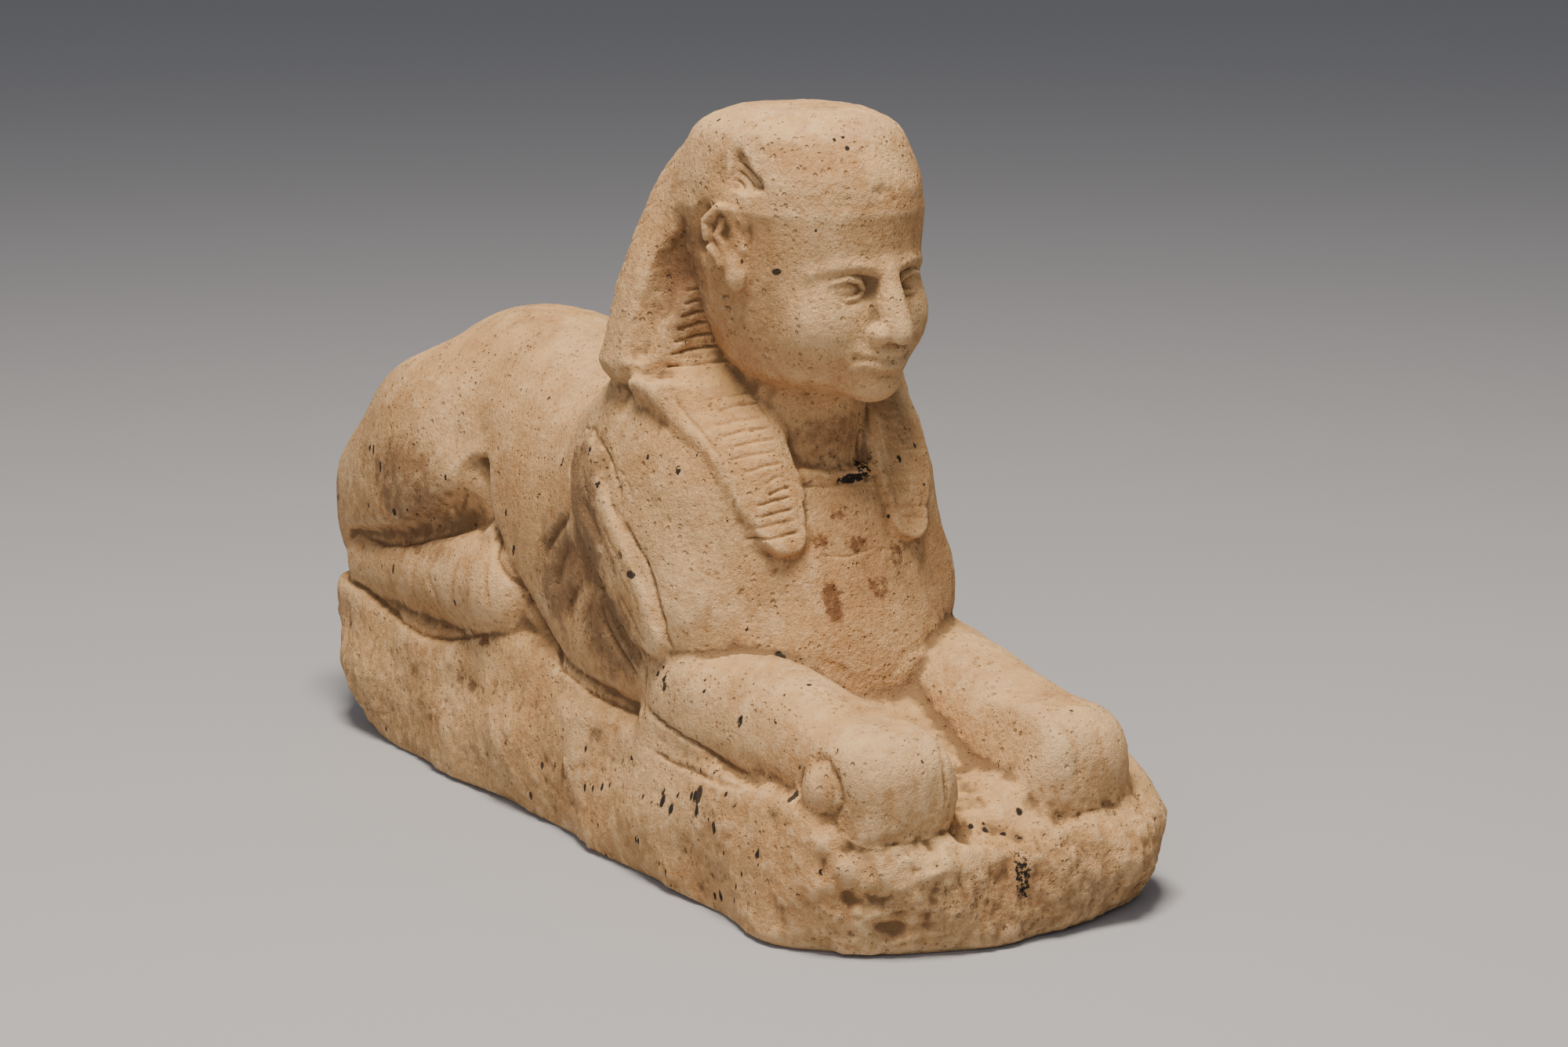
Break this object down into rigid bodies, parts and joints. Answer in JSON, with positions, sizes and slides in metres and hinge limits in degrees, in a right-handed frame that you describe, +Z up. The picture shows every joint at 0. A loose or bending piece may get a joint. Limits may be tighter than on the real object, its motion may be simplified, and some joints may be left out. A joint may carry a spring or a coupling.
{
  "type": "sphinx statue",
  "caption": "Crouching stone sphinx: lion's body with forelegs stretched out, a human head in a pleated headcloth, carved in one with its low rounded plinth.",
  "frame": {"origin": "middle of the bounding box at its bottom, on the ground the plinth rests on", "axes": "+Z up; the sphinx faces -Y, so Y is its length and -X is its right side"},
  "size_m": [0.2874, 0.7822, 0.497],
  "materials": {
    "limestone": "weathered soft limestone, warm tan, dull and slightly grainy, with old stains and dark specks"
  },
  "bodies": {
    "root": {"sphinx": "limestone"}
  },
  "joints": []
}
